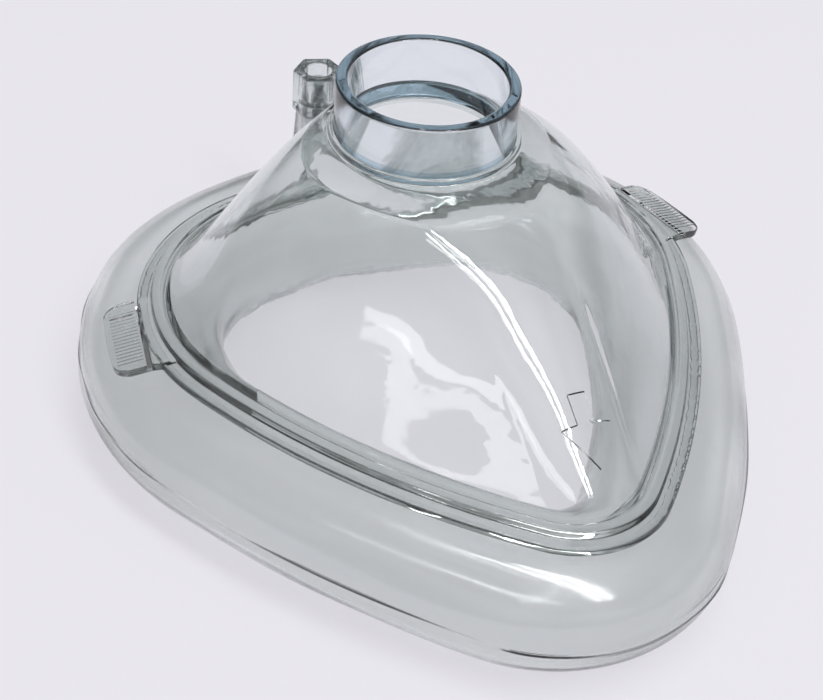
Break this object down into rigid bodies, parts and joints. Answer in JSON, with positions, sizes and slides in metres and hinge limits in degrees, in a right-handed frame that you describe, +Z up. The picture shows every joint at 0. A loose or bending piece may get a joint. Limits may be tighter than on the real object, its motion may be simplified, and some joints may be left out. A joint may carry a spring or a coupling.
{
  "type": "bag valve mask face mask",
  "caption": "Clear air-cushion face mask for a bag valve mask, with a 22 mm connector and an inflation valve.",
  "frame": {"origin": "middle of the bounding box, on the table under the cushion", "axes": "+X to the patient's left when worn face up, -Y to the nose, +Y to the chin, +Z up along the connector"},
  "size_m": [0.1004, 0.1084, 0.0514],
  "materials": {
    "clear_pvc": "clear moulded PVC, glossy",
    "clear_polycarbonate": "clear polycarbonate, glossy",
    "soft_pvc_film": "thin clear soft PVC",
    "adhesive": "clear bond line",
    "valve_plastic": "clear moulded plastic",
    "stem_plastic": "milky plastic",
    "seal_rubber": "pale silicone rubber",
    "spring_steel": "drawn stainless wire"
  },
  "bodies": {
    "cushion_ring": {"cushion": "soft_pvc_film"},
    "mask_shell": {"dome_shell": "clear_pvc", "connector_collar": "clear_polycarbonate", "cushion_bond": "adhesive", "inflation_neck": "clear_pvc", "valve_body": "valve_plastic", "valve_spring": "spring_steel"},
    "valve_plunger": {"valve_stem": "stem_plastic", "stem_cap": "stem_plastic", "valve_seal": "seal_rubber"}
  },
  "joints": [
    {"name": "cushion_press", "type": "slide", "parent": "cushion_ring", "child": "mask_shell", "axis": [0, 0, -1], "range_m": [0, 0.005], "stiffness_N_per_m": 1500, "deforming": ["cushion"]},
    {"name": "valve_stem_press", "type": "slide", "parent": "mask_shell", "child": "valve_plunger", "axis": [0, 0, -1], "range_m": [0, 0.0015], "stiffness_N_per_m": 250, "deforming": ["valve_spring"]}
  ]
}
